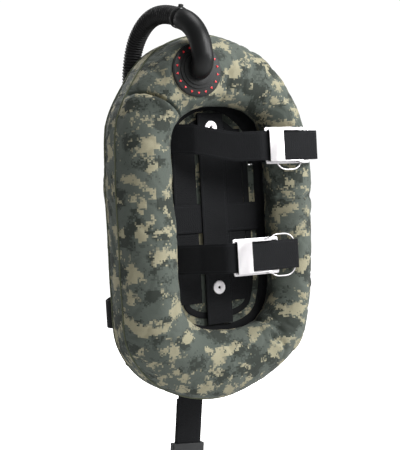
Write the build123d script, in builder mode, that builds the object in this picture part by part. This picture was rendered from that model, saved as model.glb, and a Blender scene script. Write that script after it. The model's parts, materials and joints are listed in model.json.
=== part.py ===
"""Ring wing buoyancy compensator vest with harness, tank bands, inflator and dump valve.

Millimetres. +Z is up, the diver faces +Y, so the tank side faces -Y and +X is the diver's right.
The origin is midway between the two plate bolts, on the tank side of the wing's centre panel.
"""
import os
from math import cos, pi, radians, sin, tan

from build123d import *

os.makedirs("parts", exist_ok=True)

# Driving dimensions
BOLT_SPACING = 279.4  # 11 in, the standard spacing of a backplate's bolts
BOLT_R = 4.0
HOLE_R = 4.4
WEB_WIDTH = 50.0
WEB = 2.5  # thickness of the webbing
WING_TANK_Y = -78.0
WING_BODY_Y = 60.0
WING_ROUND = 42.0  # rounding of the inflated tube
COVER_WALL = 3.0
BLADDER_WALL = 2.0
SKIN_GAP = 0.4
PANEL_Y = 3.0  # body side face of the centre panel
PLATE_Y = 6.0  # body side face of the backplate
PAD_Y = 10.2  # where the back pad starts
SLOT_X = 82.0  # the tank band slots
UPPER_BAND_Z = 100.0
LOWER_BAND_Z = -86.0
WAIST_Z = -181.0
FLANGE_XZ = (-58.0, 226.0)
DUMP_XZ = (-112.0, -239.0)
INFLATOR_XY = (-103.0, 94.0)
HOSE_R = 16.0
RUN = 0.05  # radial clearance of a pin in its bore


def save(part, name):
    """Label a finished piece and write it to its own file."""
    part.label = name
    export_step(part, f"parts/{name}.step")


def xz_plane(y):
    """Sketch plane facing the tank side: local x is +X and local y is +Z."""
    return Plane(origin=(0, y, 0), x_dir=(1, 0, 0), z_dir=(0, -1, 0))


def corner_radii(route):
    """Largest arc at each corner of a route: 0.45 of the shorter run over tan(half the turn)."""
    radii = []
    for before, here, after in zip(route, route[1:], route[2:]):
        run_in = Vector(here) - Vector(before)
        run_out = Vector(after) - Vector(here)
        turn = run_in.get_angle(run_out)
        radii.append(0.45 * min(run_in.length, run_out.length) / tan(radians(turn / 2)))
    return radii


# Outlines as the corners of their right half, from the top down
WING_OUTLINE = [(51, 295), (139, 228), (190, 112), (190, -100), (178, -236), (118, -300), (45, -326)]
HOLE_OUTLINE = [(30, 182), (78, 148), (99, 88), (99, -140), (84, -194), (42, -217)]


def arched_outline(corners):
    """Closed outline from the corners of its right half, with an arc at every corner."""
    loop = corners + [(-x, z) for x, z in reversed(corners)]
    radii = corner_radii([loop[-1], *loop, loop[0]])
    FilletPolyline(*loop, radius=radii, close=True)


def wing_ring(inset):
    """Inflated ring, set in by a distance from the outside of the cover."""
    with BuildPart() as ring:
        with BuildSketch(xz_plane(WING_TANK_Y + inset)):
            with BuildLine():
                arched_outline(WING_OUTLINE)
            make_face()
            if inset:
                offset(amount=-inset)
        extrude(amount=-(WING_BODY_Y - WING_TANK_Y - 2 * inset))
        with BuildSketch(xz_plane(WING_TANK_Y)):
            with BuildLine():
                arched_outline(HOLE_OUTLINE)
            make_face()
            if inset:
                offset(amount=inset)
        extrude(amount=-(WING_BODY_Y - WING_TANK_Y), mode=Mode.SUBTRACT)
        fillet(ring.faces().filter_by(Axis.Y).edges(), WING_ROUND - inset)
    return ring.part


def ported_skin(name, inset, wall):
    """One closed skin of the wing with the ports of the elbow flange and the dump valve."""
    with BuildPart() as skin:
        add(wing_ring(inset))
        add(wing_ring(inset + wall), mode=Mode.SUBTRACT)
        with BuildSketch(xz_plane(WING_TANK_Y)):
            with Locations(FLANGE_XZ):
                Circle(21.5)
        extrude(amount=-12, both=True, mode=Mode.SUBTRACT)
        with BuildSketch(xz_plane(WING_BODY_Y)):
            with Locations(DUMP_XZ):
                Circle(18.5)
        extrude(amount=12, both=True, mode=Mode.SUBTRACT)
    save(skin.part, name)


ported_skin("wing_cover", 0, COVER_WALL)
ported_skin("air_bladder", COVER_WALL + SKIN_GAP, BLADDER_WALL)


def hole_face(inset):
    """Area of the wing's central hole, set in by a distance."""
    with BuildSketch() as area:
        with BuildLine():
            arched_outline(HOLE_OUTLINE)
        make_face()
        offset(amount=-inset)
    return area.sketch


def band_slots(length):
    """The four slots that the two tank bands are threaded through."""
    for band_z in (UPPER_BAND_Z, LOWER_BAND_Z):
        with Locations((-SLOT_X, band_z), (SLOT_X, band_z)):
            Rectangle(9, length, mode=Mode.SUBTRACT)


# Centre panel: the cloth that closes the ring's hole, with the layers sewn to its tank side
with BuildPart() as centre_panel:
    with BuildSketch(xz_plane(0)):
        add(hole_face(0.3))
        band_slots(WEB_WIDTH + 4)
        with GridLocations(0, BOLT_SPACING, 1, 2):
            Circle(HOLE_R, mode=Mode.SUBTRACT)
    extrude(amount=-PANEL_Y)
save(centre_panel.part, "centre_panel")


def sewn_ring(name, outer_inset, inner_inset, thickness):
    """A flat ring that follows the edge of the hole."""
    with BuildPart() as tape:
        with BuildSketch(xz_plane(0)):
            add(hole_face(outer_inset))
            add(hole_face(inner_inset), mode=Mode.SUBTRACT)
            band_slots(WEB_WIDTH + 4)
        extrude(amount=thickness)
    save(tape.part, name)


sewn_ring("outer_binding", 0.5, 12, 3.0)
sewn_ring("inner_ring_tape", 24, 35, 1.6)

with BuildPart() as side_strips:
    with BuildSketch(xz_plane(-1.7)):
        with Locations((-53, -23.5)):
            Rectangle(44, 283)
        with Locations((44.5, -13.5)):
            Rectangle(35, 303)
    extrude(amount=2.2)
save(side_strips.part, "side_strips")

with BuildPart() as cross_strap:
    with BuildSketch(xz_plane(-4)):
        with Locations((-56.5, -18), (56.5, -18)):
            Rectangle(62, WEB_WIDTH)
    extrude(amount=WEB)
save(cross_strap.part, "cross_strap")

SPINE_Y = -9.0
with BuildPart() as spine_strap:
    with BuildSketch(xz_plane(-1.7)):
        with Locations((0, -18.75)):
            Rectangle(WEB_WIDTH, 368.5)
        with GridLocations(0, BOLT_SPACING, 1, 2):
            Circle(HOLE_R, mode=Mode.SUBTRACT)
    extrude(amount=-1.7 - SPINE_Y)
save(spine_strap.part, "spine_strap")

# Backplate and pad
with BuildPart() as backplate:
    with BuildSketch(xz_plane(PANEL_Y)):
        add(hole_face(6))
        band_slots(WEB_WIDTH + 4)
        with GridLocations(0, BOLT_SPACING, 1, 2):
            Circle(HOLE_R, mode=Mode.SUBTRACT)
        with GridLocations(0, 60, 1, 3):
            SlotOverall(26, 12, rotation=90, mode=Mode.SUBTRACT)
    extrude(amount=-(PLATE_Y - PANEL_Y))
save(backplate.part, "backplate")

with BuildPart() as back_pad:
    with BuildSketch(xz_plane(PAD_Y)):
        RectangleRounded(124, 250, 24)
    extrude(amount=-9)
    fillet(back_pad.faces().sort_by(Axis.Y)[-1].edges(), 4)
save(back_pad.part, "back_pad")

# Bolts: a wide low head with a hex socket on the tank side, a washer and a dome nut on the body side
NUT_Y = PLATE_Y + 1.2
HEAD = 2.6
with BuildPart() as plate_screws:
    with BuildSketch(xz_plane(SPINE_Y)):
        with GridLocations(0, BOLT_SPACING, 1, 2):
            Circle(12)
    extrude(amount=HEAD)
    fillet(plate_screws.faces().group_by(Axis.Y)[0].edges(), 1.6)
    with BuildSketch(xz_plane(SPINE_Y - 0.5)):
        with GridLocations(0, BOLT_SPACING, 1, 2):
            Circle(BOLT_R)
    extrude(amount=-(NUT_Y + 5.5 - SPINE_Y))
    with BuildSketch(xz_plane(SPINE_Y - HEAD)):
        with GridLocations(0, BOLT_SPACING, 1, 2):
            RegularPolygon(2.9, 6)
    extrude(amount=-3.6, mode=Mode.SUBTRACT)
save(plate_screws.part, "plate_screws")

with BuildPart() as plate_washers:
    with BuildSketch(xz_plane(PLATE_Y)):
        with GridLocations(0, BOLT_SPACING, 1, 2):
            Circle(9)
            Circle(BOLT_R + 0.3, mode=Mode.SUBTRACT)
    extrude(amount=-1.2)
save(plate_washers.part, "plate_washers")

with BuildPart() as plate_nuts:
    with BuildSketch(xz_plane(NUT_Y)):
        with GridLocations(0, BOLT_SPACING, 1, 2):
            RegularPolygon(6.5, 6)
    extrude(amount=-8)
    with BuildSketch(xz_plane(NUT_Y)):
        with GridLocations(0, BOLT_SPACING, 1, 2):
            Circle(BOLT_R + RUN)
    extrude(amount=-5.6, mode=Mode.SUBTRACT)
save(plate_nuts.part, "plate_nuts")

# Elbow flange: a stepped round plate on the tank side of the top lobe, with its spigot in the port
FLANGE_Y = WING_TANK_Y - 1.5
TANKWARDS = (0, -1, 0)
BODYWARDS = (0, 1, 0)


def turned(origin, direction, steps, bore):
    """Turned solid of stacked discs, each a radius and a height, with a bore through it."""
    with BuildPart() as stack:
        height = 0
        for radius, step in steps:
            with BuildSketch(Plane(origin, z_dir=direction).offset(height)):
                Circle(radius)
            extrude(amount=step)
            height += step
        with BuildSketch(Plane(origin, z_dir=direction)):
            Circle(bore)
        extrude(amount=height, mode=Mode.SUBTRACT)
    return stack.part


def flange_point(y):
    """A point on the elbow's axis."""
    return (FLANGE_XZ[0], y, FLANGE_XZ[1])


gasket = turned(flange_point(WING_TANK_Y - 0.2), TANKWARDS, [(30, 1.3)], 21.6)
save(gasket, "flange_gasket")
flange_steps = [(21, 14.5), (44, 3.6), (42.6, 1), (31, 2), (25.5, 2.4)]
save(turned(flange_point(FLANGE_Y + 14.5), TANKWARDS, flange_steps, 13.5), "elbow_flange")
save(turned(flange_point(WING_TANK_Y + 12), TANKWARDS, [(25, 3)], 21.1), "flange_nut_ring")

DOT_CIRCLE = 37.2
with BuildPart() as flange_dots:
    with BuildSketch(xz_plane(FLANGE_Y - 4.6)):
        with Locations(FLANGE_XZ):
            with PolarLocations(DOT_CIRCLE, 18, start_angle=10):
                RegularPolygon(2.5, 3)
    extrude(amount=0.8)
save(flange_dots.part, "flange_dots")


def tube(name, route, radii, outer, bore):
    """Round tube along a route of straight runs and tangent arcs. Returns the route's wire."""
    with BuildPart() as pipe:
        with BuildLine() as path:
            FilletPolyline(*route, radius=radii)
        wire = path.wires()[0]
        with BuildSketch(Plane(wire @ 0, z_dir=wire % 0)):
            Circle(outer)
            if bore:
                Circle(bore, mode=Mode.SUBTRACT)
        sweep(path=wire)
    save(pipe.part, name)
    section = pi * (outer**2 - bore**2)
    print(name, "volume / (section x length) =", round(pipe.part.volume / (section * wire.length), 4))
    return wire


# Elbow: leaves the flange towards the tank, then turns up and over to the diver's left
ELBOW_ROUTE = [(-58, -88.5, 226), (-58, -110, 226), (-66, -107, 292), (-76, -72, 311)]
tube("elbow", ELBOW_ROUTE, [20, 60], 17.5, 13)

# Corrugated hose: over the wing's top and down the diver's left side to the inflator
HOSE_ROUTE = [(-76, -72, 311), (-84, -44, 326.2), (-96, 6, 330), (-105, 48, 304), (-108, 74, 262),
              (-105, 90, 212), (-103, 96, 160), (-103, 94, 112), (-103, 94, 72)]
HOSE_RADII = corner_radii(HOSE_ROUTE)
print("hose radii in mm", [round(r) for r in HOSE_RADII])
hose_path = tube("inflator_hose", HOSE_ROUTE, HOSE_RADII, HOSE_R, 11.5)
print("hose length in mm", round(hose_path.length))


def clamp_ring(name, origin, direction):
    """Band clamp around the hose, with its tensioner head."""
    plane = Plane(origin, z_dir=direction)
    with BuildPart() as clamp:
        with BuildSketch(plane):
            Circle(HOSE_R + 2.2)
            with Locations((HOSE_R + 3.2, 0)):
                Rectangle(5, 7)
            Circle(HOSE_R + 0.1, mode=Mode.SUBTRACT)
        extrude(amount=2.5, both=True)
    save(clamp.part, name)


clamp_ring("hose_tie_upper", hose_path.position_at(0.02), hose_path.tangent_at(0.02))
clamp_ring("hose_tie_lower", (*INFLATOR_XY, 80), (0, 0, 1))

# Inflator: hollow body hanging on the hose, its feed nipple, two sprung buttons and mouthpiece
IX, IY = INFLATOR_XY
INFLATE_Z = 8.0
MOUTH_Z = -34.0


def y_plane(y):
    """Plane facing the diver's front at a height of zero: local x is +Z and local y is +X."""
    return Plane(origin=(0, y, 0), x_dir=(0, 0, 1), z_dir=(0, 1, 0))


with BuildPart() as inflator_body:
    with BuildSketch(Plane.XY.offset(-46)):
        with Locations(INFLATOR_XY):
            RectangleRounded(31, 30, 9)
    extrude(amount=72)
    with BuildSketch(Plane.XY.offset(26)):
        with Locations(INFLATOR_XY):
            Circle(14.5)
    extrude(amount=24)
    with BuildSketch(Plane.XY.offset(50)):
        with Locations(INFLATOR_XY):
            Circle(17.5)
    extrude(amount=21.8)
    for boss_z in (INFLATE_Z, MOUTH_Z):
        with BuildSketch(y_plane(IY)):
            with Locations((boss_z, IX)):
                Circle(11.5)
        extrude(amount=24)
    # bore along the body, and the button and mouthpiece bores
    with BuildSketch(Plane.XY.offset(-30)):
        with Locations(INFLATOR_XY):
            Circle(10)
    extrude(amount=102, mode=Mode.SUBTRACT)
    with BuildSketch(y_plane(IY + 12)):
        with Locations((INFLATE_Z, IX), (MOUTH_Z, IX)):
            Circle(8.5)
    extrude(amount=13, mode=Mode.SUBTRACT)
    with BuildSketch(y_plane(IY)):
        with Locations((MOUTH_Z, IX)):
            Circle(7)
    extrude(amount=13, mode=Mode.SUBTRACT)
    with BuildSketch(Plane.XY.offset(-47)):
        with Locations(INFLATOR_XY):
            Circle(8.5)
    extrude(amount=11, mode=Mode.SUBTRACT)
    nipple_plane = Plane(origin=(IX - 12, IY, INFLATE_Z), z_dir=(-1, 0, 0))
    with BuildSketch(nipple_plane):
        Circle(5)
    extrude(amount=5, mode=Mode.SUBTRACT)
save(inflator_body.part, "inflator_body")

with BuildPart() as feed_nipple:
    with BuildSketch(nipple_plane):
        Circle(4.9)
    extrude(amount=6)
    with BuildSketch(nipple_plane.offset(6)):
        Circle(7.2)
    extrude(amount=3)
    with BuildSketch(nipple_plane.offset(9)):
        Circle(4.2)
    extrude(amount=7)
    with BuildSketch(nipple_plane.offset(16)):
        Circle(5.4)
    extrude(amount=5)
    fillet(feed_nipple.faces().sort_by(Axis.X)[0].edges(), 0.8)
save(feed_nipple.part, "feed_nipple")


def sprung_button(name, plane):
    """Button with a flange behind its stem, on a plane at the foot of its bore facing out."""
    with BuildPart() as button:
        with BuildSketch(plane.offset(5.5)):
            Circle(8.5 - 0.3)
        extrude(amount=12)
        fillet(button.faces().sort_by(Axis(plane.origin, plane.z_dir))[-1].edges(), 1.5)
    save(button.part, name)
    with BuildPart() as spring:
        coil_plane = plane.offset(0.6)
        with BuildLine() as coil:
            Helix(pitch=1.45, height=4.3, radius=5, center=coil_plane.origin, direction=coil_plane.z_dir)
        wire = coil.wires()[0]
        with BuildSketch(Plane(wire @ 0, z_dir=wire % 0)):
            Circle(0.4)
        sweep(path=wire)
    save(spring.part, f"{name}_spring")


sprung_button("inflate_button", Plane(origin=(IX, IY + 12, INFLATE_Z), z_dir=(0, 1, 0)))
sprung_button("deflate_button", Plane(origin=(IX, IY, -36), z_dir=(0, 0, -1)))

with BuildPart() as mouthpiece:
    with BuildSketch(y_plane(IY + 12)):
        with Locations((MOUTH_Z, IX)):
            Circle(8.4)
    extrude(amount=13)
    with BuildSketch(y_plane(IY + 24.2)):
        with Locations((MOUTH_Z, IX)):
            Ellipse(11, 15)
    extrude(amount=5)
    with BuildSketch(y_plane(IY + 29.2)):
        with Locations((MOUTH_Z, IX)):
            Ellipse(8, 12)
    extrude(amount=14)
    with BuildSketch(y_plane(IY + 11)):
        with Locations((MOUTH_Z, IX)):
            Circle(6)
    extrude(amount=34, mode=Mode.SUBTRACT)
save(mouthpiece.part, "mouthpiece")

# Dump valve: seat in the wing's port, cap, sprung disc with its pull cord and knob
def dump_point(y):
    """A point on the dump valve's axis."""
    return (DUMP_XZ[0], y, DUMP_XZ[1])


DX, DZ = DUMP_XZ
seat = turned(dump_point(WING_BODY_Y - 14), BODYWARDS, [(18, 14.4), (27, 3)], 13)
save(seat, "dump_seat")
save(turned(dump_point(WING_BODY_Y - 13), BODYWARDS, [(22, 2.4)], 18.1), "dump_nut_ring")

CAP_Y = WING_BODY_Y + 3.4
with BuildPart() as dump_cap:
    with BuildSketch(Plane(dump_point(CAP_Y), z_dir=BODYWARDS)):
        Circle(26)
    extrude(amount=17)
    fillet(dump_cap.faces().sort_by(Axis.Y)[-1].edges(), 4)
    with BuildSketch(Plane(dump_point(CAP_Y), z_dir=BODYWARDS)):
        Circle(23)
    extrude(amount=14.5, mode=Mode.SUBTRACT)
    with BuildSketch(Plane(dump_point(CAP_Y), z_dir=BODYWARDS)):
        Circle(3.2)
        with PolarLocations(14, 8):
            Circle(2.4)
    extrude(amount=17, mode=Mode.SUBTRACT)
save(dump_cap.part, "dump_cap")

with BuildPart() as dump_disc:
    with BuildSketch(xz_plane(WING_BODY_Y + 3.6)):
        with Locations(DUMP_XZ):
            Circle(17)
    extrude(amount=-2.4)
save(dump_disc.part, "dump_disc")

with BuildPart() as dump_spring:
    with BuildLine() as dump_coil:
        Helix(pitch=3, height=9, radius=9, center=(DX, WING_BODY_Y + 7.2, DZ), direction=(0, 1, 0))
    dump_wire = dump_coil.wires()[0]
    with BuildSketch(Plane(dump_wire @ 0, z_dir=dump_wire % 0)):
        Circle(0.5)
    sweep(path=dump_wire)
save(dump_spring.part, "dump_spring")

CORD_ROUTE = [(DX, WING_BODY_Y + 6, DZ), (DX, WING_BODY_Y + 28, DZ), (DX - 16, WING_BODY_Y + 32, DZ - 22)]
tube("dump_pull_cord", CORD_ROUTE, [8], 1.6, 0)
with BuildPart() as dump_knob:
    knob_axis = Vector(CORD_ROUTE[2]) - Vector(CORD_ROUTE[1])
    with BuildSketch(Plane(CORD_ROUTE[2], z_dir=knob_axis)):
        Circle(6.5)
    extrude(amount=17)
    fillet(dump_knob.edges().filter_by(GeomType.CIRCLE), 2.5)
save(dump_knob.part, "dump_knob")


# Webbing
def webbing(name, plane, route, radii, width=WEB_WIDTH, thickness=WEB):
    """Strap whose edge follows a route in the plane, with the given width across the plane."""
    with BuildPart() as strap:
        with BuildSketch(plane):
            with BuildLine() as edge:
                FilletPolyline(*route, radius=radii)
                offset(amount=thickness / 2, side=Side.BOTH)
            make_face(edge.edges().filter_by(lambda e: e.length > 0))
        extrude(amount=width / 2, both=True)
    save(strap.part, name)


def cam_buckle(prefix, plane, length):
    """Stainless cam buckle: flat frame with two lugs, two hinge rivets and a lever of two arms and a plate."""
    pin_x, pin_z = length - 20, 7.5
    with BuildPart() as frame:
        with BuildSketch(plane):
            with Locations((length / 2, 0)):
                RectangleRounded(length, 62, 3)
            with Locations((14, 0), (length - 8, 0)):
                Rectangle(11, WEB_WIDTH + 2, mode=Mode.SUBTRACT)
        extrude(amount=WEB)
        with BuildSketch(plane.offset(WEB)):
            with Locations((pin_x, 0)):
                with GridLocations(0, 57, 1, 2):
                    Rectangle(14, 1.8)
        extrude(amount=9.5)
        with BuildSketch(Plane(plane.from_local_coords((pin_x, -40, pin_z)), z_dir=plane.y_dir)):
            Circle(2)
        extrude(amount=80, mode=Mode.SUBTRACT)
    save(frame.part, f"{prefix}_buckle_frame")
    with BuildPart() as pin:
        for stub_y in (-30.6, 25.7):
            with BuildSketch(Plane(plane.from_local_coords((pin_x, stub_y, pin_z)), z_dir=plane.y_dir)):
                Circle(2)
            extrude(amount=4.9)
        for head_y in (-30.8, 29.5):
            with BuildSketch(Plane(plane.from_local_coords((pin_x, head_y, pin_z)), z_dir=plane.y_dir)):
                Circle(3.4)
            extrude(amount=1.3)
    save(pin.part, f"{prefix}_buckle_pin")
    with BuildPart() as lever:
        for arm_y in (-27.4, 25.6):
            with BuildSketch(Plane(plane.from_local_coords((0, arm_y, 0)), x_dir=plane.x_dir,
                                   z_dir=plane.y_dir)):
                with Locations(((4 + pin_x) / 2, -pin_z)):
                    Rectangle(pin_x - 4, 8.3)
                with Locations((pin_x, -pin_z)):
                    Circle(4.15)
            extrude(amount=1.8)
        with BuildSketch(plane.offset(9.65)):
            with Locations((18, 0)):
                Rectangle(28, 54.8)
        extrude(amount=2)
        with BuildSketch(Plane(plane.from_local_coords((pin_x, -40, pin_z)), z_dir=plane.y_dir)):
            Circle(2 + RUN)
        extrude(amount=80, mode=Mode.SUBTRACT)
    save(lever.part, f"{prefix}_buckle_lever")


def link_ring(name, plane, half_length, half_width, corner, wire_r):
    """Closed wire link with rounded corners, lying in the plane with its length along local y."""
    with BuildSketch(plane) as outline:
        RectangleRounded(2 * half_width, 2 * half_length, corner)
    loop = outline.sketch.wires()[0]
    with BuildPart() as link:
        with BuildSketch(Plane(loop @ 0, z_dir=loop % 0)):
            Circle(wire_r)
        sweep(path=loop)
    save(link.part, name)


# Tank bands: each goes through the plate's slots, lies over the right lobe and folds back on itself.
# Its buckle starts at buckle_x, its fold is at fold_x, and frame_y is the underside of the frame.
# A wire ring lies behind each frame; the lower one's far side is caught in the band's fold, so it leans.
for side, band_z, buckle_x, fold_x, frame_y, ring_x, ring_lean, ring_drop, ring_sag in (
    ("upper", UPPER_BAND_Z, 60, 164, -88, 109, 0, 2, 5),
    ("lower", LOWER_BAND_Z, -10, 118, -82, 87, 3.6, 0.15, 1),
):
    band_y = frame_y - 4.2
    top_end = buckle_x - 8
    route = [
        (buckle_x + 65, frame_y + 6.6),
        (92, frame_y + 7 if side == "lower" else frame_y + 10),
        (SLOT_X, -30),
        (SLOT_X, 8),
        (-SLOT_X, 8),
        (-SLOT_X, -14),
        (-SLOT_X + 32, -44),
        (top_end, band_y),
        (fold_x, band_y),
        (fold_x, band_y + 5.4),
        (buckle_x + 92, band_y + 5.4),
    ]
    webbing(f"{side}_band", Plane.XY.offset(band_z), route, [10, 12, 4, 4, 5, 20, 20, 2.6, 2.6])
    buckle_plane = Plane(origin=(buckle_x, frame_y, band_z), x_dir=(1, 0, 0), z_dir=(0, -1, 0))
    cam_buckle(f"{side}_band", buckle_plane, 88)
    lean = radians(ring_lean)
    ring_plane = Plane(origin=(ring_x, frame_y + ring_drop, band_z - ring_sag),
                       x_dir=(cos(lean), -sin(lean), 0), z_dir=(-sin(lean), -cos(lean), 0))
    link_ring(f"{side}_band_ring", ring_plane, 36, 26, 20, 1.3)

# Shoulder straps: up from the plate, forward over the shoulder and back in at the waist
SHOULDER_X = 55.0
CHEST_Y = 156.0
CHEST_Z = 60.0
RING_Y = CHEST_Y + 10.2
SHOULDER_ROUTE = [(9, 129), (66, 157), (74, 208), (106, 226), (146, 186), (CHEST_Y, CHEST_Z),
                  (138, -70), (84, -128), (8.6, -140)]


def cross_section_plane(x):
    """Plane across the object: local x is +Y and local y is +Z."""
    return Plane(origin=(x, 0, 0), x_dir=(0, 1, 0), z_dir=(1, 0, 0))


def tri_glides(name, planes, height, depth):
    """Slides that hold the webbing: a plate with two slots round a middle bar, one for each plane.

    The strap passes behind the middle bar, which is why the plates sit just outside it.
    """
    with BuildPart() as glides:
        for plane in planes:
            with BuildSketch(plane):
                RectangleRounded(64, height, 5)
                with GridLocations(0, height / 2 - 3, 1, 2):
                    Rectangle(WEB_WIDTH + 3, height / 4 - 1, mode=Mode.SUBTRACT)
            extrude(amount=depth)
    save(glides.part, name)


def chest_plane(x):
    """Plane on the outside of a shoulder strap at the chest, facing the diver's front."""
    return Plane(origin=(x, CHEST_Y + 1.4, CHEST_Z), x_dir=(-1, 0, 0), z_dir=(0, 1, 0))


for side, strap_x in (("left", -SHOULDER_X), ("right", SHOULDER_X)):
    webbing(f"{side}_shoulder_strap", cross_section_plane(strap_x), SHOULDER_ROUTE,
            [16, 24, 20, 24, 80, 80, 40])
    ring_plane = Plane(origin=(strap_x, RING_Y, CHEST_Z - 20), x_dir=(-1, 0, 0), z_dir=(0, 1, 0))
    link_ring(f"{side}_shoulder_ring", ring_plane, 20, 28, 12, 2.5)
tri_glides("shoulder_slides", [chest_plane(-SHOULDER_X), chest_plane(SHOULDER_X)], 26, 3)

# Waist straps: out from the plate round the diver to a cam buckle at the front
WAIST_Y = 200.0
WAIST_ROUTE = [(40, 8.4), (50, 8.4), (63, 67), (118, 74), (168, 112), (132, 178), (40, WAIST_Y)]
left_route = [(-x, y) for x, y in WAIST_ROUTE] + [(-20, WAIST_Y)]
waist_plane = Plane.XY.offset(WAIST_Z)
webbing("left_waist_strap", waist_plane, left_route, [6, 6, 30, 26, 40, 60])
webbing("right_waist_strap", waist_plane, [*WAIST_ROUTE, (-8, WAIST_Y)], [6, 6, 30, 26, 40, 60])
waist_buckle_plane = Plane(origin=(38, WAIST_Y - 4.2, WAIST_Z), x_dir=(-1, 0, 0), z_dir=(0, 1, 0))
cam_buckle("waist", waist_buckle_plane, 70)


def hip_plane(side, out):
    """Plane on the outside of a waist strap at the hip, a distance out from the strap's middle."""
    normal = Vector(side * 22, 92, 0).normalized()
    middle = Vector(side * 96, 186.6, WAIST_Z)
    return Plane(middle + normal * out, x_dir=(0, 0, 1), z_dir=normal)


tri_glides("waist_slides", [hip_plane(-1, 1.5), hip_plane(1, 1.5)], 26, 3)
hip_ring_plane = hip_plane(-1, RING_Y - CHEST_Y)
hip_ring_centre = hip_ring_plane.from_local_coords((0, 20, 0))
hip_ring_plane = Plane(hip_ring_centre, x_dir=hip_ring_plane.x_dir, z_dir=hip_ring_plane.z_dir)
link_ring("hip_ring", hip_ring_plane, 20, 28, 12, 2.5)

# Keepers: short sleeves on the slides in which the bars of the three rings turn
with BuildPart() as ring_keepers:
    for strap_x in (-SHOULDER_X, SHOULDER_X):
        with BuildSketch(cross_section_plane(strap_x)):
            with Locations((RING_Y, CHEST_Z)):
                Circle(5)
                Circle(2.5 + RUN, mode=Mode.SUBTRACT)
        extrude(amount=12, both=True)
    with BuildSketch(Plane(hip_plane(-1, RING_Y - CHEST_Y).origin, z_dir=(0, 0, 1))):
        Circle(5)
        Circle(2.5 + RUN, mode=Mode.SUBTRACT)
    extrude(amount=12, both=True)
save(ring_keepers.part, "ring_keepers")

# Crotch strap: hangs from the plate's lower edge over the bottom lobe, doubled back through a slide
CROTCH_ROUTE = [(9, -190), (52, -214), (74, -246), (92, -330), (93, -500), (98.4, -500), (98.4, -352)]
CROTCH_LEAN = 6.5  # degrees to the diver's left
crotch_top = Location((0, 0, -190), (0, CROTCH_LEAN, 0))
crotch_frame = Plane(crotch_top)
crotch_route = [(y, z + 190) for y, z in CROTCH_ROUTE]
webbing("crotch_strap", Plane((0, 0, -190), x_dir=(0, 1, 0), z_dir=crotch_frame.x_dir), crotch_route,
        [16, 24, 200, 2.6, 2.6])
with BuildPart() as crotch_slide:
    with BuildSketch(crotch_frame.offset(-263)):
        with Locations((0, 95.7)):
            RectangleRounded(64, 15, 3)
            Rectangle(WEB_WIDTH + 2, 10, mode=Mode.SUBTRACT)
    extrude(amount=20)
save(crotch_slide.part, "crotch_slide")
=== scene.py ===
"""Looks of the ring wing buoyancy compensator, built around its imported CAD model. Metres."""
import json
import math

import bmesh
import bpy
import numpy as np
from mathutils import Matrix, Vector, noise

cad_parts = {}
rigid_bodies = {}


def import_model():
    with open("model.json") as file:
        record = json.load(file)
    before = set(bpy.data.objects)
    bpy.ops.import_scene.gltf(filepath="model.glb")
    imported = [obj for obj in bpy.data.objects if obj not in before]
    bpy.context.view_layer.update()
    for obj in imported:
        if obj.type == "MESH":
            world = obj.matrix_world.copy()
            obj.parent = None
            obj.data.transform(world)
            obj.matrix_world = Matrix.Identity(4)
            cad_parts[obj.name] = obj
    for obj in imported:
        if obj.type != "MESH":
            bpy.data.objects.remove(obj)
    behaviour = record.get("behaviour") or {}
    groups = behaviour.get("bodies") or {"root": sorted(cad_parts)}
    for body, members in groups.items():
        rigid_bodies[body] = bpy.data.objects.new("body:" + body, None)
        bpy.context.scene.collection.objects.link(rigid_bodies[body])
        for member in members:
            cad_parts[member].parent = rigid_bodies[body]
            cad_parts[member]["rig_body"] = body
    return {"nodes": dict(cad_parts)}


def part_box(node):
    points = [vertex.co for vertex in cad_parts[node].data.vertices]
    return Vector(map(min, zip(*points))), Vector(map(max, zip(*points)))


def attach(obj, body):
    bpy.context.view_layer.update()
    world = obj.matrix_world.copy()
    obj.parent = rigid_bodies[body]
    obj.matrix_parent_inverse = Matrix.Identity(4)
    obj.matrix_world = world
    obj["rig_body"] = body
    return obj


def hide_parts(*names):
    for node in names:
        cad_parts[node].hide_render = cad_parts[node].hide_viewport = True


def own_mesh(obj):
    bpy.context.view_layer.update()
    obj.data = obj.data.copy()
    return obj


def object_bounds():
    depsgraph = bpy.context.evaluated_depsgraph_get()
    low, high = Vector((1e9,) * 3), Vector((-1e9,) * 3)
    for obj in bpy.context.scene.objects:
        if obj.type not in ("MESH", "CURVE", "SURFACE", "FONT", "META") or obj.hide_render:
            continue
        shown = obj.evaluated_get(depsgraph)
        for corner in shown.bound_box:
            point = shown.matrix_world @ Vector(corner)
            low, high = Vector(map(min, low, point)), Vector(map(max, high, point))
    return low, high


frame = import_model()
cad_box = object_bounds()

MM = 0.001
ROOT = "vest"
WEB_WIDTH = 0.050


def vec(*values):
    """A point given in millimetres, in metres."""
    return Vector(values) * MM


# ---- camera
# Seen from the tank side and 28 degrees round to the diver's left, level with the plate's bolts
CAMERA_AZIMUTH = math.radians(-28.0)
CAMERA_ROLL = math.radians(3.1)
CAMERA_DISTANCE = 1.5
CAMERA_LENS = 68.3
AIM_RIGHT = -0.0216
AIM_UP = -0.0304


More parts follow.
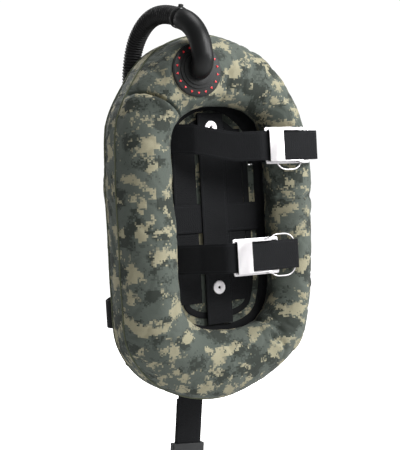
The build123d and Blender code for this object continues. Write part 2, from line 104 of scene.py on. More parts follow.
def make_camera():
    back = Vector((math.sin(CAMERA_AZIMUTH), -math.cos(CAMERA_AZIMUTH), 0))
    level_right = Vector((math.cos(CAMERA_AZIMUTH), math.sin(CAMERA_AZIMUTH), 0))
    level_up = Vector((0, 0, 1))
    right = level_right * math.cos(CAMERA_ROLL) - level_up * math.sin(CAMERA_ROLL)
    up = level_right * math.sin(CAMERA_ROLL) + level_up * math.cos(CAMERA_ROLL)
    place = back * CAMERA_DISTANCE
    aim = right * AIM_RIGHT + up * AIM_UP
    forward = (aim - place).normalized()
    side = forward.cross(up).normalized()
    top = side.cross(forward)
    data = bpy.data.cameras.new("camera")
    data.lens = CAMERA_LENS
    camera = bpy.data.objects.new("camera", data)
    bpy.context.scene.collection.objects.link(camera)
    turn = Matrix((side, top, -forward)).transposed()
    camera.matrix_world = Matrix.Translation(place) @ turn.to_4x4()
    bpy.context.scene.camera = camera


make_camera()


# ---- meshes
def link(obj):
    bpy.context.scene.collection.objects.link(obj)
    return obj


def mesh_object(name, verts, faces, material=None, uvs=None, smooth=True):
    """An object from vertices and faces, with one UV pair per vertex if uvs is given."""
    data = bpy.data.meshes.new(name)
    data.from_pydata([tuple(v) for v in verts], [], faces)
    if uvs is not None:
        layer = data.uv_layers.new(name="UVMap")
        index = np.zeros(len(data.loops), int)
        data.loops.foreach_get("vertex_index", index)
        layer.data.foreach_set("uv", np.asarray(uvs, float)[index].ravel())
    data.polygons.foreach_set("use_smooth", [smooth] * len(data.polygons))
    if material:
        data.materials.append(material)
    data.validate()
    return link(bpy.data.objects.new(name, data))


def apply_modifiers(obj):
    """Replace an object's mesh by what its modifiers make of it."""
    graph = bpy.context.evaluated_depsgraph_get()
    data = bpy.data.meshes.new_from_object(obj.evaluated_get(graph))
    obj.modifiers.clear()
    obj.data = data
    return obj


def bevelled(obj, width, segments, angle):
    """Round the sharp edges of an object."""
    mod = obj.modifiers.new("bevel", "BEVEL")
    mod.width = width
    mod.segments = segments
    mod.limit_method = "ANGLE"
    mod.angle_limit = math.radians(angle)
    mod.harden_normals = False
    return apply_modifiers(obj)


def nurbs_points(points):
    """Points along a smooth curve with the given control points, in metres."""
    data = bpy.data.curves.new("route", "CURVE")
    data.dimensions = "3D"
    spline = data.splines.new("NURBS")
    spline.points.add(len(points) - 1)
    for control, point in zip(spline.points, points):
        control.co = (*point, 1)
    spline.order_u = 3
    spline.use_endpoint_u = True
    spline.resolution_u = 24
    holder = link(bpy.data.objects.new("reading", data))
    bpy.context.view_layer.update()
    graph = bpy.context.evaluated_depsgraph_get()
    mesh = bpy.data.meshes.new_from_object(holder.evaluated_get(graph))
    found = [v.co.copy() for v in mesh.vertices]
    bpy.data.meshes.remove(mesh)
    bpy.data.objects.remove(holder)
    return found


def resampled(points, step):
    """Evenly spaced points along a polyline, with their distances from its start."""
    points = np.array([tuple(p) for p in points])
    lengths = np.r_[0, np.cumsum(np.linalg.norm(np.diff(points, axis=0), axis=1))]
    count = max(2, int(round(lengths[-1] / step)) + 1)
    at = np.linspace(0, lengths[-1], count)
    return np.stack([np.interp(at, lengths, points[:, i]) for i in range(3)], 1), at


def frames_along(points, start_normal):
    """Tangents, normals and binormals carried along a path without twist."""
    tangents = np.gradient(points, axis=0)
    tangents /= np.linalg.norm(tangents, axis=1)[:, None]
    normal = np.array(start_normal, float)
    normals = []
    for tangent in tangents:
        normal = normal - tangent * normal.dot(tangent)
        normal /= np.linalg.norm(normal)
        normals.append(normal)
    normals = np.array(normals)
    return tangents, normals, np.cross(tangents, normals)


def grid_faces(rows, columns, close_rows=False, close_columns=True):
    """Quads of a grid of vertices, row by row."""
    faces = []
    for i in range(rows if close_rows else rows - 1):
        for j in range(columns if close_columns else columns - 1):
            a, b = i, (i + 1) % rows
            c, d = j, (j + 1) % columns
            faces.append((a * columns + c, a * columns + d, b * columns + d, b * columns + c))
    return faces


def tube_along(name, points, radii, start_normal, sides, material):
    """Open-ended round tube along points, with a radius at each point."""
    _, normals, binormals = frames_along(points, start_normal)
    angles = np.linspace(0, 2 * math.pi, sides, endpoint=False)
    verts, uvs = [], []
    travelled = 0.0
    for i, centre in enumerate(points):
        if i:
            travelled += float(np.linalg.norm(points[i] - points[i - 1]))
        for angle in angles:
            out = normals[i] * math.cos(angle) + binormals[i] * math.sin(angle)
            verts.append(centre + out * radii[i])
            uvs.append((travelled, angle * radii[i]))
    return mesh_object(name, verts, grid_faces(len(points), sides), material, uvs)


def fix_normals(obj, merge=0.0):
    """Turn the faces outward, after joining vertices closer than merge."""
    work = bmesh.new()
    work.from_mesh(obj.data)
    if merge:
        bmesh.ops.remove_doubles(work, verts=work.verts, dist=merge)
    bmesh.ops.recalc_face_normals(work, faces=work.faces)
    work.to_mesh(obj.data)
    work.free()


def finish_piece(obj, slot, body, *nodes):
    """Hide the CAD nodes that a piece stands for and attach the piece to its body; slot is not used."""
    if nodes:
        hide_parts(*nodes)
    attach(obj, body)
    return obj


# ---- materials
def srgb(red, green, blue):
    """Linear colour of an sRGB colour in 0..255."""
    return tuple((c / 255 / 12.92 if c <= 10 else ((c / 255 + 0.055) / 1.055) ** 2.4)
                 for c in (red, green, blue)) + (1.0,)


def brighter(colour, factor, extra=0.0):
    return tuple(min(1, c * factor + extra) for c in colour[:3]) + (1,)


class Look:
    """A Principled material and short ways to build its nodes."""

    def __init__(self, name, **sockets):
        self.material = bpy.data.materials.new(name)
        self.material.use_nodes = True
        self.tree = self.material.node_tree
        self.shader = self.tree.nodes["Principled BSDF"]
        for socket, value in sockets.items():
            self.shader.inputs[socket.replace("_", " ")].default_value = value

    def add(self, kind, inputs=None, **properties):
        """Add a node; inputs are values or sockets by input name or number."""
        node = self.tree.nodes.new("ShaderNode" + kind)
        for key, value in properties.items():
            setattr(node, key, value)
        for key, value in (inputs or {}).items():
            if isinstance(value, bpy.types.NodeSocket):
                self.tree.links.new(value, node.inputs[key])
            else:
                node.inputs[key].default_value = value
        return node

    def place(self, uv=False):
        return self.add("TexCoord").outputs["UV" if uv else "Object"]

    def scaled(self, vector, factors):
        return self.add("VectorMath", {0: vector, 1: factors}, operation="MULTIPLY").outputs[0]

    def math(self, operation, a, b=0.0):
        return self.add("Math", {0: a, 1: b, 2: 0.0}, operation=operation).outputs[0]

    def times(self, a, b):
        return self.math("MULTIPLY", a, b)

    def apart(self, a, b):
        return self.math("ABSOLUTE", self.math("SUBTRACT", a, b))

    def noise(self, vector, scale, detail=2.0, roughness=0.5):
        return self.add("TexNoise", {"Vector": vector, "Scale": scale, "Detail": detail,
                                     "Roughness": roughness}).outputs["Fac"]

    def ramp(self, factor, stops, interpolation="LINEAR"):
        node = self.add("ValToRGB", {"Fac": factor})
        node.color_ramp.interpolation = interpolation
        while len(node.color_ramp.elements) < len(stops):
            node.color_ramp.elements.new(0.5)
        for element, (position, colour) in zip(node.color_ramp.elements, stops):
            element.position = position
            element.color = colour
        return node.outputs["Color"]

    def mix(self, factor, a, b, blend="MIX"):
        node = self.add("Mix", {0: factor, 6: a, 7: b}, data_type="RGBA", blend_type=blend)
        return node.outputs[2]

    def spread(self, value, low, high):
        """A 0..1 value brought to low..high."""
        return self.add("MapRange", {"Value": value, "To Min": low, "To Max": high}).outputs[0]

    def bump(self, height, distance, strength=1.0, below=None):
        inputs = {"Height": height, "Distance": distance, "Strength": strength}
        if below is not None:
            inputs["Normal"] = below
        return self.add("Bump", inputs).outputs[0]

    def set(self, **sockets):
        for socket, value in sockets.items():
            self.tree.links.new(value, self.shader.inputs[socket.replace("_", " ")])
        return self


def grey(value):
    return (value, value, value, 1.0)


CAMO_CELL = 0.0028
# Noise levels above which a cell is half and fully in a patch
SHADOW_LEVELS, LIGHT_LEVELS = (0.512, 0.550), (0.543, 0.562)
SAGE_DARK, SAGE_LIGHT = srgb(78, 86, 80), srgb(100, 106, 99)
SLATE = srgb(54, 59, 54)
SAND, PALE_SAND = srgb(174, 168, 142), srgb(142, 139, 116)


def camo(name, uv=True):
    """Square-cell camouflage printed on woven nylon: sage ground, slate shadows and sand patches."""
    look = Look(name, Roughness=0.84, Sheen_Weight=0.05, Sheen_Roughness=0.45, Specular_IOR_Level=0.22)
    place = look.place(uv)

    def cells(size):
        """The corner of the square cell that each point lies in, and the cell's own random value."""
        cell = look.add("VectorMath", {0: look.scaled(place, (1 / size,) * 3)}, operation="FLOOR").outputs[0]
        random = look.add("TexWhiteNoise", {"Vector": cell}, noise_dimensions="3D").outputs["Value"]
        return look.scaled(cell, (size,) * 3), random

    fine, fine_random = cells(CAMO_CELL)
    coarse, coarse_random = cells(2 * CAMO_CELL)

    def patches(offset, scale, stretch):
        """Blocky noise: large shapes on coarse cells, with frayed edges of single cells."""
        moved = look.add("VectorMath", {0: look.scaled(coarse, stretch), 1: offset}).outputs[0]
        small = look.add("VectorMath", {0: look.scaled(fine, stretch), 1: offset}).outputs[0]
        value = look.math("ADD", look.times(look.noise(moved, scale, 3.0, 0.55), 0.5),
                          look.times(look.noise(small, scale, 4.0, 0.62), 0.5))
        value = look.math("ADD", value, look.spread(coarse_random, -0.024, 0.024))
        return look.math("ADD", value, look.spread(fine_random, -0.034, 0.034))

    wide = (0.9, 1.2, 1.2)
    dark = patches((3.1, 1.7, 0.4), 22.0, wide)
    light = patches((0.0, 0.0, 0.0), 26.0, wide)
    half_shadow, shadow = (look.math("GREATER_THAN", dark, level) for level in SHADOW_LEVELS)
    half_light, full_light = (look.math("GREATER_THAN", light, level) for level in LIGHT_LEVELS)
    blotch = look.noise(place, 9.0, 2.0)
    colour = look.mix(look.spread(blotch, 0.0, 1.0), SAGE_DARK, SAGE_LIGHT)
    colour = look.mix(look.times(half_shadow, 0.45), colour, SLATE)
    colour = look.mix(look.times(shadow, 0.85), colour, SLATE)
    sand = look.mix(look.spread(blotch, 0.0, 1.0), SAND, PALE_SAND)
    colour = look.mix(look.times(half_light, 0.5), colour, sand)
    colour = look.mix(full_light, colour, sand)
    thread = look.noise(place, 900.0, 1.0)
    colour = look.mix(0.35, colour, look.ramp(thread, [(0.3, grey(0.55)), (0.7, grey(1.0))]), "MULTIPLY")
    weave = look.math("MAXIMUM", *(
        look.add("TexWave", {"Vector": place, "Scale": 360.0, "Distortion": 0.6, "Detail": 1.0},
                 bands_direction=direction).outputs["Fac"] for direction in ("X", "Y" if uv else "Z")))
    crumple = look.noise(look.place(), 70.0, 4.0, 0.6)
    normal = look.bump(weave, 0.00022, 0.7)
    normal = look.bump(crumple, 0.0026, 0.6, normal)
    look.set(Base_Color=colour, Normal=normal, Roughness=look.spread(thread, 0.78, 0.92))
    return look.material


# Weave of the webbing: spacing of its picks, cords, twill (across, along) and stitches
PICK, CORD_PITCH, TWILL, STITCH = 0.0016, 0.0021, (0.0084, 0.0042), 0.0034
SELVEDGE = 0.0022
STITCH_INSET, STITCH_HALF = 0.0042, 0.00045


def webbing(name, colour=(14, 15, 17), width=WEB_WIDTH, stitch=True):
    """Flat woven nylon webbing: fine ribs across, a selvedge at each edge and stitched rows along it."""
    look = Look(name, Roughness=0.75, Sheen_Weight=0.03, Sheen_Roughness=0.4, Specular_IOR_Level=0.16)
    uv = look.place(True)
    parts = look.add("SeparateXYZ", {0: uv})
    across, along = parts.outputs[0], parts.outputs[1]
    picks = look.math("SINE", look.times(along, 2 * math.pi / PICK))
    cords = look.math("SINE", look.times(across, 2 * math.pi / CORD_PITCH))
    zigzag = look.apart(look.math("FRACT", look.times(across, 1 / TWILL[0])), 0.5)
    twill = look.math("ADD", zigzag, look.times(along, 1 / TWILL[1]))
    twill = look.math("SINE", look.times(twill, 2 * math.pi))
    height = look.math("ADD", look.times(look.times(picks, cords), 0.5),
                       look.times(twill, 0.35))
    off_centre = look.apart(across, width / 2)
    edge = look.math("GREATER_THAN", off_centre, width / 2 - SELVEDGE)
    base = srgb(*colour)
    lighter = brighter(base, 1.75)
    fuzz = look.noise(look.place(), 420.0, 3.0, 0.7)
    cloud = look.noise(look.place(), 24.0, 3.0, 0.6)
    tone = look.mix(look.spread(cloud, 0.0, 1.0), base, lighter)
    tone = look.mix(look.spread(height, 0.25, 0.0), tone, lighter)
    tone = look.mix(look.times(edge, 0.45), tone, lighter)
    if stitch:
        row = look.math("LESS_THAN", look.apart(off_centre, width / 2 - STITCH_INSET), STITCH_HALF)
        dash = look.math("LESS_THAN", look.math("FRACT", look.times(along, 1 / STITCH)), 0.72)
        thread = look.times(row, dash)
        tone = look.mix(look.times(thread, 0.35), tone, srgb(44, 45, 50))
        height = look.math("ADD", height, look.times(thread, 1.4))
    normal = look.bump(height, 0.00030, 0.8)
    normal = look.bump(fuzz, 0.00025, 0.5, normal)
    look.set(Base_Color=tone, Normal=normal, Roughness=look.spread(fuzz, 0.58, 0.84))
    return look.material


def moulded(name, colour, roughness=(0.38, 0.55), grain=0.00012, worn=1.6, specular=0.5):
    """Moulded plastic or rubber with a fine spark-eroded grain and rubbed patches."""
    look = Look(name, Specular_IOR_Level=specular)
    place = look.place()
    fine = look.noise(place, 1500.0, 2.0, 0.6)
    cloud = look.noise(place, 45.0, 4.0, 0.6)
    base = srgb(*colour)
    look.set(Base_Color=look.mix(look.spread(cloud, 0.0, 0.8), base, brighter(base, worn, 0.002)),
             Roughness=look.spread(cloud, *roughness), Normal=look.bump(fine, grain, 0.5))
    return look.material


def metal(name, colour, roughness=(0.16, 0.34), along=(30.0, 900.0, 900.0)):
    """Stainless steel with a brushed grain and faint handling marks."""
    look = Look(name, Metallic=1.0)
    place = look.place()
    brushed = look.noise(look.scaled(place, along), 1.0, 3.0, 0.65)
    smudge = look.noise(place, 60.0, 3.0, 0.6)
    base = srgb(*colour)
    dull = brighter(base, 0.84)
    rough = look.math("ADD", look.spread(brushed, *roughness), look.spread(smudge, -0.05, 0.07))
    look.set(Base_Color=look.mix(look.spread(smudge, 0.0, 0.7), base, dull), Roughness=rough,
             Normal=look.bump(brushed, 0.00003, 0.35))
    return look.material


def foam_cloth(name, colour):
    """Knitted spacer cloth over foam."""
    look = Look(name, Roughness=0.9, Sheen_Weight=0.25, Sheen_Roughness=0.5, Specular_IOR_Level=0.2)
    place = look.place()
    knit = look.add("TexVoronoi", {"Vector": place, "Scale": 420.0, "Randomness": 0.25}).outputs["Distance"]
    cloud = look.noise(place, 18.0, 3.0, 0.6)
    base = srgb(*colour)
    light = brighter(base, 1.8)
    look.set(Base_Color=look.mix(look.times(knit, 0.9), light, look.mix(cloud, base, light)),
             Normal=look.bump(knit, 0.0004, 0.8))
    return look.material


def braid(name, colour, light):
    """Braided cord."""
    look = Look(name, Roughness=0.75, Sheen_Weight=0.2)
    waves = look.add("TexWave", {"Vector": look.place(), "Scale": 260.0, "Distortion": 2.0, "Detail": 1.0},
                     bands_direction="DIAGONAL").outputs["Fac"]
    look.set(Base_Color=look.mix(waves, srgb(*colour), srgb(*light)), Normal=look.bump(waves, 0.0004, 0.7))
    return look.material


CAMO = camo("camo_print")
CAMO_FLAT = camo("camo_print_flat", uv=False)
WEBBING = webbing("nylon_webbing")
TAPE = webbing("binding_tape", (16, 17, 19), width=0.012, stitch=False)
EDGING = webbing("seam_edging", (74, 78, 62), width=0.006, stitch=False)
PLASTIC = moulded("black_plastic", (17, 18, 18), (0.36, 0.55), specular=0.3)
GLOSS = moulded("gloss_plastic", (11, 12, 13), (0.30, 0.48), 0.00010, specular=0.3)
GREY_PLASTIC = moulded("grey_plastic", (46, 47, 48), specular=0.3)
BUTTON = moulded("button_plastic", (120, 122, 126), (0.3, 0.45))
RED = moulded("red_enamel", (226, 34, 40), (0.25, 0.4), 0.00005, 1.15)
RUBBER = moulded("hose_rubber", (15, 15, 16), (0.45, 0.65), 0.00015, 1.9, 0.25)
SEAL = moulded("seal_rubber", (16, 16, 17), (0.6, 0.75), 0.0001, 1.6, 0.25)
STEEL = metal("stainless_steel", (238, 235, 237), (0.30, 0.46))
SATIN = metal("satin_steel", (222, 220, 222), (0.34, 0.48), (600.0, 30.0, 600.0))
PLATE = metal("plate_metal", (150, 152, 155), (0.3, 0.45), (600.0, 600.0, 30.0))
FOAM = foam_cloth("pad_cloth", (26, 27, 29))
CORD = braid("cord_braid", (24, 24, 26), (70, 70, 74))


# ---- inflator hose
# The route runs from the elbow's mouth over the wing's top and down to the inflator's socket
HOSE_ROUTE = [vec(-76, -72, 311), vec(-84, -44, 326.2), vec(-96, 6, 330), vec(-105, 48, 304),
              vec(-108, 74, 262), vec(-105, 90, 212), vec(-103, 96, 160), vec(-103, 94, 112),
              vec(-103, 94, 72)]
CORRUGATION = 0.0052
HOSE_VALLEY_R, RIDGE_HEIGHT = 0.0136, 0.0021
CUFF_HEIGHT, CUFF_LENGTH, CUFF_SLOPE = 0.0012, 0.014, 0.004

hose_path, hose_at = resampled(nurbs_points(HOSE_ROUTE), CORRUGATION / 9)
hose_end = hose_at[-1]
hose_radii = []
for at in hose_at:
    wave = 0.5 + 0.5 * math.cos(2 * math.pi * at / CORRUGATION)
    ridge = wave ** 0.7
    ribbed = min(1.0, max(0.0, (min(at, hose_end - at) - CUFF_LENGTH) / CUFF_SLOPE))
    hose_radii.append(HOSE_VALLEY_R + RIDGE_HEIGHT * ridge * ribbed + CUFF_HEIGHT * (1 - ribbed))
hose = tube_along("hose", hose_path, hose_radii, (1, 0, 0), 48, RUBBER)
finish_piece(hose, "hose_rubber", ROOT, "inflator_hose")


# ---- wing
# Right half of the seam at the hole, and both halves of the outer rim, (X, Z) in mm, from the top down.
# The points of the two seams match in pairs
HOLE_SEAM = [(0, 184), (40, 181), (68, 171), (90, 154), (102, 128), (107, 60), (106, -40), (105, -130),
             (101, -165), (84, -196), (56, -214), (0, -223)]
# The filled wing leans: its rim lies further to the diver's left at the bottom than at the top
RIM_RIGHT = [(0, 297), (60, 280), (100, 257), (146, 200), (168, 150), (182, 75), (178, -45), (170, -140),
             (161, -202), (136, -260), (78, -299), (-10, -328)]
RIM_LEFT = [(-52, 291), (-104, 266), (-150, 209), (-176, 160), (-186, 70), (-187, -45), (-187, -150),
            (-181, -226), (-150, -277), (-94, -313)]
WING_AROUND = 640
FRONT_COLUMNS, GUSSET_COLUMNS, BACK_COLUMNS = 48, 14, 44
SEAM_FRONT_Y, SEAM_BACK_Y = -20.0, 27.0


def whole_outline(right, left):
    """A closed outline from its top, clockwise from the tank side; both halves run from the top down."""
    return np.array(right + left[::-1], float)


def hermite(t, start, end, start_way, end_way):
    return ((2 * t ** 3 - 3 * t ** 2 + 1) * start + (t ** 3 - 2 * t ** 2 + t) * start_way
            + (3 * t ** 2 - 2 * t ** 3) * end + (t ** 3 - t ** 2) * end_way)


def smooth_closed(points, fractions):
    """Points at fractional indices of a smooth closed curve through the given points."""
    count = len(points)
    ahead = np.roll(points, -1, 0) - points
    chords = np.linalg.norm(ahead, axis=1)
    slopes = ahead / chords[:, None]
    before_chord, before_slope = np.roll(chords, 1), np.roll(slopes, 1, 0)
    tangents = ((slopes * before_chord[:, None] + before_slope * chords[:, None])
                / (chords + before_chord)[:, None])
    index = np.floor(fractions).astype(int) % count
    after = (index + 1) % count
    t = (fractions - np.floor(fractions))[:, None]
    chord = chords[index][:, None]
    return hermite(t, points[index], points[after], chord * tangents[index], chord * tangents[after])


def smooth_open(points, count):
    """Evenly spaced points on a smooth open curve through the given points."""
    points = np.array(points, float)
    chords = np.linalg.norm(np.diff(points, axis=0), axis=1)
    slopes = np.diff(points, axis=0) / chords[:, None]
    tangents = np.empty_like(points)
    tangents[0], tangents[-1] = slopes[0], slopes[-1]
    tangents[1:-1] = ((slopes[1:] * chords[:-1, None] + slopes[:-1] * chords[1:, None])
                      / (chords[1:] + chords[:-1])[:, None])
    fine = []
    for i, chord in enumerate(chords):
        t = np.linspace(0, 1, 12, endpoint=False)[:, None]
        fine.append(hermite(t, points[i], points[i + 1], chord * tangents[i], chord * tangents[i + 1]))
    fine = np.vstack(fine + [points[-1:]])
    lengths = np.r_[0, np.cumsum(np.linalg.norm(np.diff(fine, axis=0), axis=1))]
    at = np.linspace(0, lengths[-1], count)
    return np.stack([np.interp(at, lengths, fine[:, k]) for k in range(fine.shape[1])], 1), at


hole_seam = whole_outline(HOLE_SEAM, [(-x, z) for x, z in HOLE_SEAM[1:-1]])
rim_seam = whole_outline(RIM_RIGHT, RIM_LEFT)
steps = np.linspace(0, len(rim_seam), 4001)
rim_fine = smooth_closed(rim_seam, steps)
rim_length = np.r_[0, np.cumsum(np.linalg.norm(np.diff(rim_fine, axis=0), axis=1))]
# Sections stand closer together where the deep fold crosses the ring, at this share of the way round
FOLD_AT, FOLD_SPREAD, FOLD_CROWDING = 0.896, 0.034, 3.0
even = np.linspace(0, 1, 4001)
crowding = 1 + FOLD_CROWDING * np.exp(-((even - FOLD_AT) / FOLD_SPREAD) ** 2)
crowded = np.r_[0, np.cumsum((crowding[1:] + crowding[:-1]) / 2)]
turns = np.interp(np.linspace(0, crowded[-1], WING_AROUND, endpoint=False), crowded, even)
rim_run = turns * rim_length[-1]
around_at = np.interp(rim_run, rim_length, steps)
hole_points = smooth_closed(hole_seam, around_at)
rim_points = smooth_closed(rim_seam, around_at)


def section(width):
    """Front, gusset and back of the wing's cross-section: (distance from the hole seam, Y) in mm."""
    front = [(0, 1), (-8, -20), (-11, -44), (3, -66), (0.40 * width, -79), (0.75 * width, -65),
             (0.955 * width, -39), (width, SEAM_FRONT_Y)]
    gusset = [(width, SEAM_FRONT_Y), (width + 2.5, 4), (width, SEAM_BACK_Y)]
    back = [(width, SEAM_BACK_Y), (0.93 * width, 45), (0.6 * width, 60), (0.2 * width, 56), (-5, 36),
            (-6, 18), (0, 5)]
    return (smooth_open(front, FRONT_COLUMNS), smooth_open(gusset, GUSSET_COLUMNS),
            smooth_open(back, BACK_COLUMNS))


# Columns of vertices across the section; neighbouring panels share a column at each seam
FRONT_SEAM = FRONT_COLUMNS - 1
BACK_SEAM = FRONT_SEAM + GUSSET_COLUMNS - 1
WING_COLUMNS = BACK_SEAM + BACK_COLUMNS
wing_points = np.zeros((WING_AROUND, WING_COLUMNS, 3))
panel_uv = np.zeros((3, WING_AROUND + 1, WING_COLUMNS, 2))
seam_gap = np.zeros((WING_AROUND, WING_COLUMNS))
rim_gap = np.zeros((WING_AROUND, WING_COLUMNS))
for i, (inner, outer) in enumerate(zip(hole_points, rim_points)):
    width = float(np.linalg.norm(outer - inner))
    out = (outer - inner) / width
    (front, front_at), (gusset, gusset_at), (back, back_at) = section(width)
    whole = np.vstack([front, gusset[1:], back[1:]])
    wing_points[i, :, 0] = inner[0] + out[0] * whole[:, 0]
    wing_points[i, :, 1] = whole[:, 1]
    wing_points[i, :, 2] = inner[1] + out[1] * whole[:, 0]
    panel_uv[0, i, :FRONT_SEAM + 1] = inner + out * (front_at[:, None] - front_at[-1] * 0.22)
    panel_uv[1, i, FRONT_SEAM:BACK_SEAM + 1, 0] = rim_run[i]
    panel_uv[1, i, FRONT_SEAM:BACK_SEAM + 1, 1] = gusset_at
    panel_uv[2, i, BACK_SEAM:] = (outer - out * back_at[:, None]) * (-1, 1) + (900, 0)
    seam_gap[i, :FRONT_SEAM + 1] = np.minimum(front_at[-1] - front_at, front_at + 12)
    rim_gap[i, :FRONT_SEAM + 1] = front_at[-1] - front_at
    seam_gap[i, FRONT_SEAM:BACK_SEAM + 1] = np.minimum(gusset_at, gusset_at[-1] - gusset_at)
    seam_gap[i, BACK_SEAM:] = back_at
panel_uv[:, WING_AROUND] = panel_uv[:, 0]
panel_uv[1, WING_AROUND, :, 0] = rim_length[-1]


def wing_normals(points):
    """Outward normals of the grid of wing points."""
    along = np.roll(points, -1, 0) - np.roll(points, 1, 0)
    across = np.gradient(points, axis=1)
    normals = np.cross(along, across)
    return normals / np.maximum(np.linalg.norm(normals, axis=2), 1e-9)[:, :, None]


def line_distance(x, z, line):
    """Distance of each (x, z) from a polyline, the share of the line passed, and the side (+ is right)."""
    best, share, side = np.full(x.shape, 1e9), np.zeros(x.shape), np.zeros(x.shape)
    for k in range(len(line) - 1):
        ax, az = line[k]
        bx, bz = line[k + 1]
        dx, dz = bx - ax, bz - az
        t = np.clip(((x - ax) * dx + (z - az) * dz) / (dx * dx + dz * dz), 0, 1)
        far = np.hypot(x - ax - t * dx, z - az - t * dz)
        near = far < best
        best = np.where(near, far, best)
        share = np.where(near, (k + t) / (len(line) - 1), share)
        side = np.where(near, np.sign((x - ax) * dz - (z - az) * dx), side)
    return best, share, side


# The deep fold where the left lobe tucks under the top, (X, Z) in mm from the rim to the hole
FOLD = [(-184, 184), (-170, 190), (-155, 194), (-143, 192), (-126, 184), (-104, 171), (-76, 152)]
SLIT_DEPTH, TUCK_DEPTH, ROLL_HEIGHT = 13, 5.0, 5.0
# Creases of the tank side, (X, Z) in mm: line, depth, width of the valley, swell beside it on its right
CREASES = [
    ([(2, 236), (6, 215), (2, 192)], 3.2, 5.0, 1.0),
    ([(26, 262), (30, 236)], 2.4, 5.0, 0.6),
    ([(96, 276), (108, 250), (112, 236)], 4.0, 7.0, 2.0),
    ([(52, -194), (72, -206), (90, -224)], 4.2, 3.6, 1.4),
    ([(56, -224), (80, -234), (92, -254), (84, -282)], 5.0, 4.0, 2.0),
    ([(-22, -226), (-14, -250), (-8, -268)], 3.0, 4.2, 1.0),
    ([(-190, -222), (-164, -262), (-136, -292)], 4.0, 4.5, 2.0),
    ([(-176, -196), (-150, -212), (-120, -214)], 2.6, 5.0, 1.0),
    ([(-186, 30), (-160, 22), (-132, 26)], 1.8, 5.0, 0.6),
    ([(-112, -60), (-128, -76), (-150, -84)], 1.6, 5.0, 0.6),
    ([(186, 20), (160, 10), (136, 14)], 1.8, 5.0, 0.6),
    ([(128, -128), (150, -134), (180, -128)], 2.0, 4.5, 0.6),
    ([(40, 198), (52, 222), (58, 250)], 2.0, 6.0, 0.6),
    ([(-112, 214), (-128, 232), (-132, 250)], 1.8, 5.0, 0.6),
]


def wrinkle(points, gaps):
    """Signed swell of each wing point in mm: seam puckers, slack waves and the creases."""
    x, y, z = points[:, :, 0], points[:, :, 1], points[:, :, 2]
    swell = np.zeros(x.shape)
    for i in range(points.shape[0]):
        angle = 2 * math.pi * turns[i]
        ring = Vector((math.cos(angle), math.sin(angle), 0))
        pucker = noise.noise(ring * 34) + 0.6 * noise.noise(ring * 72 + Vector((3, 1, 4)))
        back_pucker = noise.noise(ring * 30 + Vector((7, 7, 1)))
        for j in range(points.shape[1]):
            gap = gaps[i, j]
            place = Vector(points[i, j]) * 0.001
            slack = (noise.noise(place * 16) * 2.6 + noise.noise(place * 38) * 1.1
                     + noise.noise(place * 85) * 0.35)
            sharp = abs(noise.noise(place * 21 + Vector((5, 2, 8))))
            fold = -1.8 * math.exp(-(sharp / 0.055) ** 2)
            puckered = pucker if j <= BACK_SEAM else back_pucker
            swell[i, j] = ((slack + fold) * min(1.0, gap / 18)
                           + 1.5 * puckered * math.exp(-gap / 16) * min(1.0, gap / 2.5))
    tank_side = np.clip((18 - y) / 24, 0, 1)
    away_from_rim = np.clip((gaps - 6) / 26, 0, 1)
    for line, depth, width, lift in CREASES:
        far, share, side = line_distance(x, z, line)
        taper = np.clip(np.minimum(share, 1 - share) * 6, 0, 1)
        valley = np.exp(-(far / width) ** 2) + 0.35 * np.exp(-(far / (2.4 * width)) ** 2)
        shoulder = np.exp(-((far - 2.6 * width) / (1.7 * width)) ** 2) * np.where(side > 0, 1.0, 0.25)
        swell += tank_side * taper * (lift * shoulder * away_from_rim
                                      - depth * valley / 1.35 * (0.2 + 0.8 * away_from_rim))
    far, share, side = line_distance(x, z, FOLD)
    reach = np.clip(rim_gap / 22, 0, 1) * np.clip((1 - share) * 7, 0, 1)
    slit = SLIT_DEPTH * np.exp(-(far / 2.2) ** 2)
    tucked = np.where(side < 0, TUCK_DEPTH * np.exp(-far / 9), 0.0)
    roll = np.where(side > 0, ROLL_HEIGHT * np.exp(-((far - 10) / 9) ** 2), 0.0) * np.clip(far / 4, 0, 1)
    swell += tank_side * reach * (roll - slit - tucked)
    return swell


FLANGE_X, FLANGE_Z, FLANGE_SEAT_Y = -58.0, 226.0, -79.2
PRESSED_R, PRESSED_BLEND = 64, 20
wing_points += wing_normals(wing_points) * wrinkle(wing_points, seam_gap)[:, :, None]
# The fabric lies flat under the elbow's flange
flange_far = np.hypot(wing_points[:, :, 0] - FLANGE_X, wing_points[:, :, 2] - FLANGE_Z)
pressed = np.clip((PRESSED_R - flange_far) / PRESSED_BLEND, 0, 1)
pressed = pressed * pressed * (3 - 2 * pressed) * (wing_points[:, :, 1] < -30)
wing_points[:, :, 1] += (FLANGE_SEAT_Y - wing_points[:, :, 1]) * pressed


